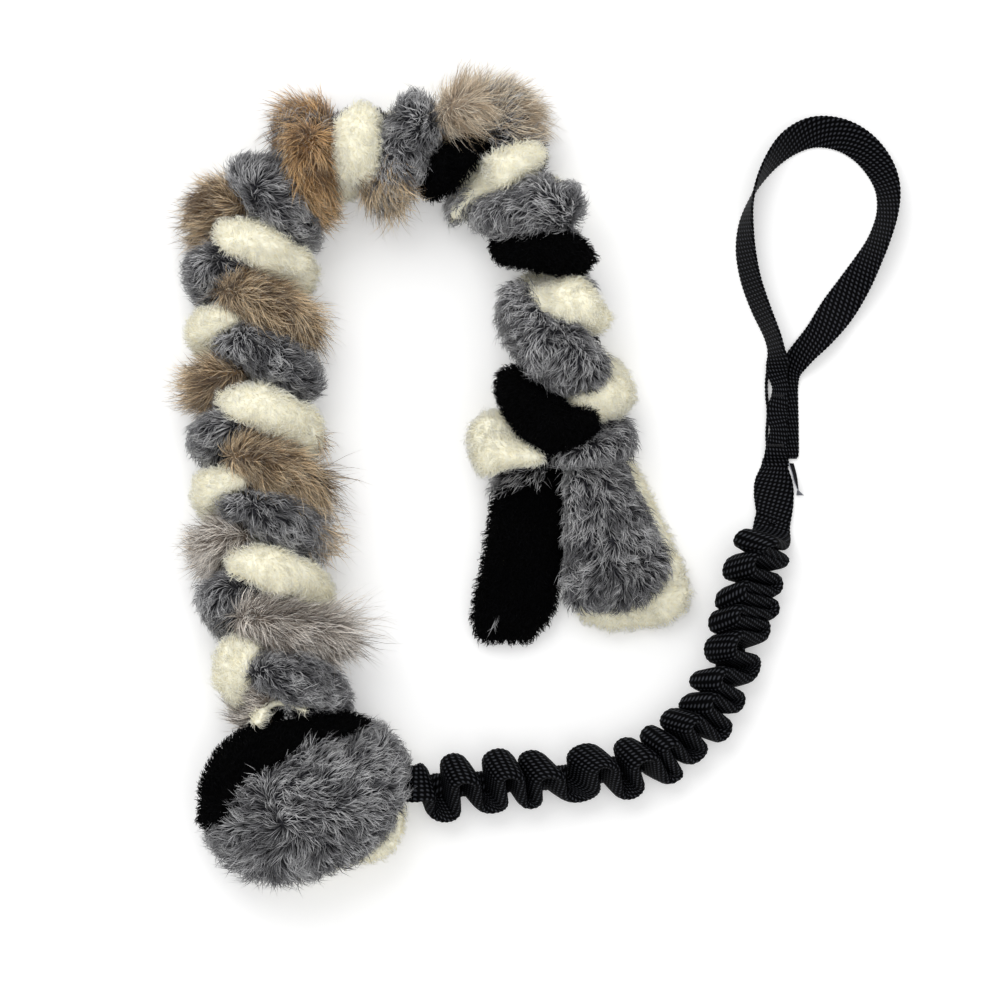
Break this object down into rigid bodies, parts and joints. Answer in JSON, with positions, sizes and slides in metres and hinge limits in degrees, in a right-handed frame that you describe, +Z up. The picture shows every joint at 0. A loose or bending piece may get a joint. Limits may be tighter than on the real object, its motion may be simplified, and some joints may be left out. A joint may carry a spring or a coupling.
{
  "type": "bungee tug toy",
  "caption": "Plaited sheepskin and rabbit-fur tug with loose tails and a fat knot, on a gathered bungee tube that ends in a webbing hand loop.",
  "frame": {"origin": "middle of the toy's footprint, on the surface it lies on", "axes": "+Z up off the surface; +Y runs from the knot towards the arch of the braid and the top of the hand loop; +X runs from the braid towards the hand loop"},
  "size_m": [0.3852, 0.431, 0.0587],
  "materials": {
    "grey_wool": "grey dyed sheepskin, long wavy pile with lighter tips",
    "cream_wool": "natural cream sheepskin, dense curly pile",
    "black_wool": "black dyed sheepskin, short velvety pile",
    "grey_fur": "grey-brown rabbit fur with long straight guard hairs",
    "brown_fur": "brown rabbit fur with long straight guard hairs",
    "rust_fur": "reddish brown rabbit fur with long straight guard hairs",
    "beige_fur": "beige rabbit fur with long straight guard hairs",
    "nylon": "black woven nylon webbing, satin",
    "elastic": "flat braided elastic",
    "thread": "black bonded thread, dense zigzag stitches",
    "label": "blank woven label, dark outside and light grey inside"
  },
  "bodies": {
    "knot": {"grey_strip_near": "grey_wool", "cream_strip_near": "cream_wool", "black_strip_near": "black_wool", "grey_strip_twist": "grey_wool", "cream_strip_twist": "cream_wool", "black_strip_twist": "black_wool", "grey_rabbit_pelt": "grey_fur", "brown_rabbit_pelt": "brown_fur", "rust_rabbit_pelt": "rust_fur", "black_knot_band": "black_wool", "grey_knot_band": "grey_wool", "cream_knot_band": "cream_wool", "bungee_anchor": "nylon"},
    "braid_far": {"grey_strip_far": "grey_wool", "cream_strip_far": "cream_wool", "black_strip_far": "black_wool", "black_strip_end": "black_wool", "beige_rabbit_pelt": "beige_fur"},
    "black_tail": {"black_tail": "black_wool"},
    "cream_tail": {"cream_tail": "cream_wool"},
    "grey_tail": {"grey_tail": "grey_wool"},
    "bungee": {"bungee_sleeve": "nylon", "elastic_core": "elastic"},
    "neck": {"tube_neck": "nylon", "label_tab": "label"},
    "handle": {"hand_loop": "nylon", "upper_bar_tack": "thread", "lower_bar_tack": "thread"}
  },
  "joints": [
    {"name": "braid_twist", "type": "hinge", "parent": "knot", "child": "braid_far", "pos_m": [-0.0826, 0.1809, 0.0255], "axis": [-1, 0, 0], "range_deg": [0, 50], "deforming": ["grey_strip_twist", "cream_strip_twist", "black_strip_twist"]},
    {"name": "black_tail_lift", "type": "hinge", "parent": "braid_far", "child": "black_tail", "pos_m": [-0.00486, 0.00675, 0.036], "axis": [-1, 0, 0], "range_deg": [0, 60]},
    {"name": "cream_tail_lift", "type": "hinge", "parent": "braid_far", "child": "cream_tail", "pos_m": [0.0297, 0.00675, 0.036], "axis": [-1, 0, 0], "range_deg": [0, 60]},
    {"name": "grey_tail_lift", "type": "hinge", "parent": "cream_tail", "child": "grey_tail", "pos_m": [0.02538, 0.00675, 0.036], "axis": [-1, 0, 0], "range_deg": [0, 30]},
    {"name": "bungee_swing", "type": "hinge", "parent": "knot", "child": "bungee", "pos_m": [-0.07452, -0.1674, 0.02], "axis": [0, 0, -1], "range_deg": [0, 75]},
    {"name": "bungee_stretch", "type": "slide", "parent": "bungee", "child": "neck", "axis": [0.8112, 0.5848, 0], "range_m": [0, 0.25], "stiffness_N_per_m": 60, "deforming": ["bungee_sleeve", "elastic_core"]},
    {"name": "handle_lift", "type": "hinge", "parent": "neck", "child": "handle", "pos_m": [0.12528, 0.00324, 0.0026], "axis": [1, 0, 0], "range_deg": [0, 80]}
  ]
}
